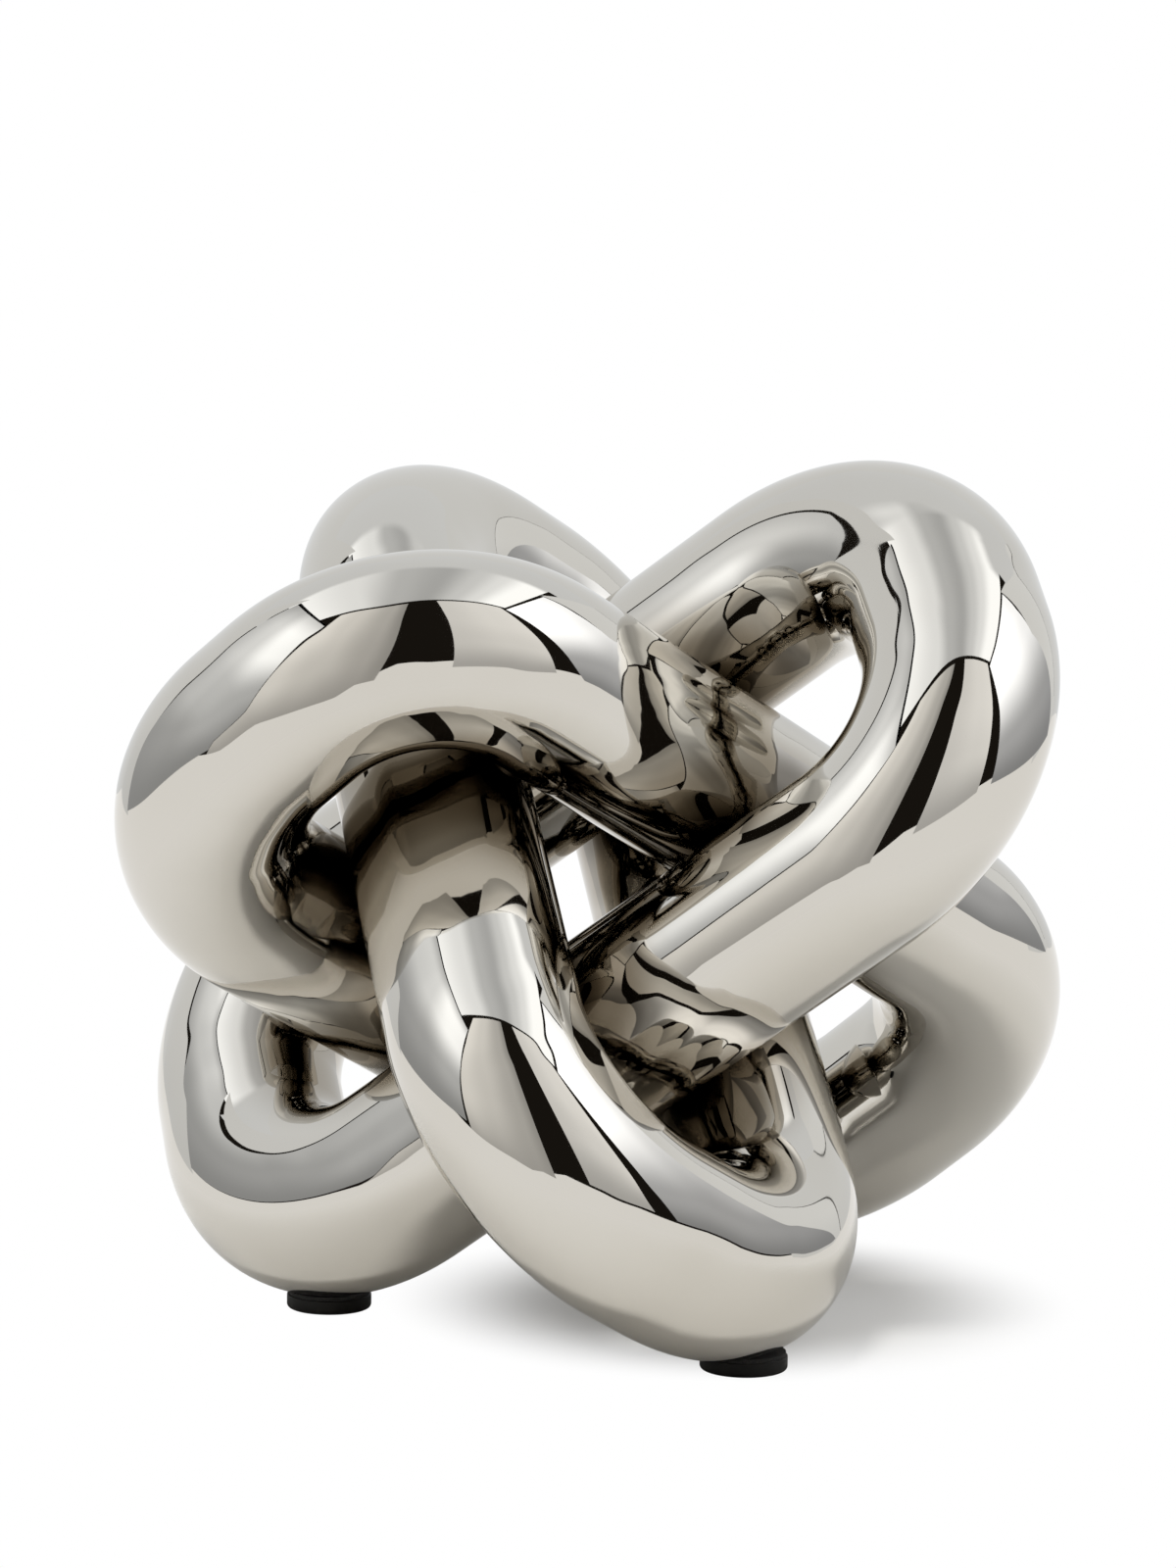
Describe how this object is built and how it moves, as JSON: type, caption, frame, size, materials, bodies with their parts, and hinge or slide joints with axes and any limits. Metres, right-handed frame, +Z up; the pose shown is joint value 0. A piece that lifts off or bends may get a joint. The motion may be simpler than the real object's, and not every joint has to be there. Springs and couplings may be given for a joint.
{
  "type": "metal knot sculpture",
  "caption": "Free-standing decorative knot of interlocked, mirror-polished metal tube loops that stands on small rubber pads.",
  "frame": {"origin": "on the surface that the sculpture stands on, under the middle of its bounding box", "axes": "+Z up, square to the undersides of the pads; -Y towards the viewer of the picture; +X to the viewer's right"},
  "size_m": [0.2122, 0.2196, 0.1922],
  "materials": {
    "polished_nickel": "mirror polished nickel plate, slightly warm",
    "sleeve_steel": "bare drawn tube, hidden inside the arms",
    "braze": "brazing alloy under the plating",
    "rubber": "matt black rubber",
    "adhesive_foam": "dark adhesive foam"
  },
  "bodies": {
    "root": {"back_loop_lower_arm_sleeve": "sleeve_steel", "back_loop_lower_half": "polished_nickel", "back_loop_pad": "rubber", "back_loop_pad_foam": "adhesive_foam", "back_loop_upper_arm_sleeve": "sleeve_steel", "back_loop_upper_half": "polished_nickel", "bead_back_lower_on_left_lower": "braze", "bead_back_lower_on_left_upper": "braze", "bead_back_upper_on_left_lower": "braze", "bead_back_upper_on_left_upper": "braze", "bead_left_lower_on_right_lower": "braze", "bead_left_lower_on_right_upper": "braze", "bead_left_upper_on_right_lower": "braze", "bead_left_upper_on_right_upper": "braze", "bead_right_lower_on_back_lower": "braze", "bead_right_lower_on_back_upper": "braze", "bead_right_upper_on_back_lower": "braze", "bead_right_upper_on_back_upper": "braze", "left_loop_lower_arm_sleeve": "sleeve_steel", "left_loop_lower_half": "polished_nickel", "left_loop_pad": "rubber", "left_loop_pad_foam": "adhesive_foam", "left_loop_upper_arm_sleeve": "sleeve_steel", "left_loop_upper_half": "polished_nickel", "right_loop_lower_arm_sleeve": "sleeve_steel", "right_loop_lower_half": "polished_nickel", "right_loop_pad": "rubber", "right_loop_pad_foam": "adhesive_foam", "right_loop_upper_arm_sleeve": "sleeve_steel", "right_loop_upper_half": "polished_nickel"}
  },
  "joints": []
}
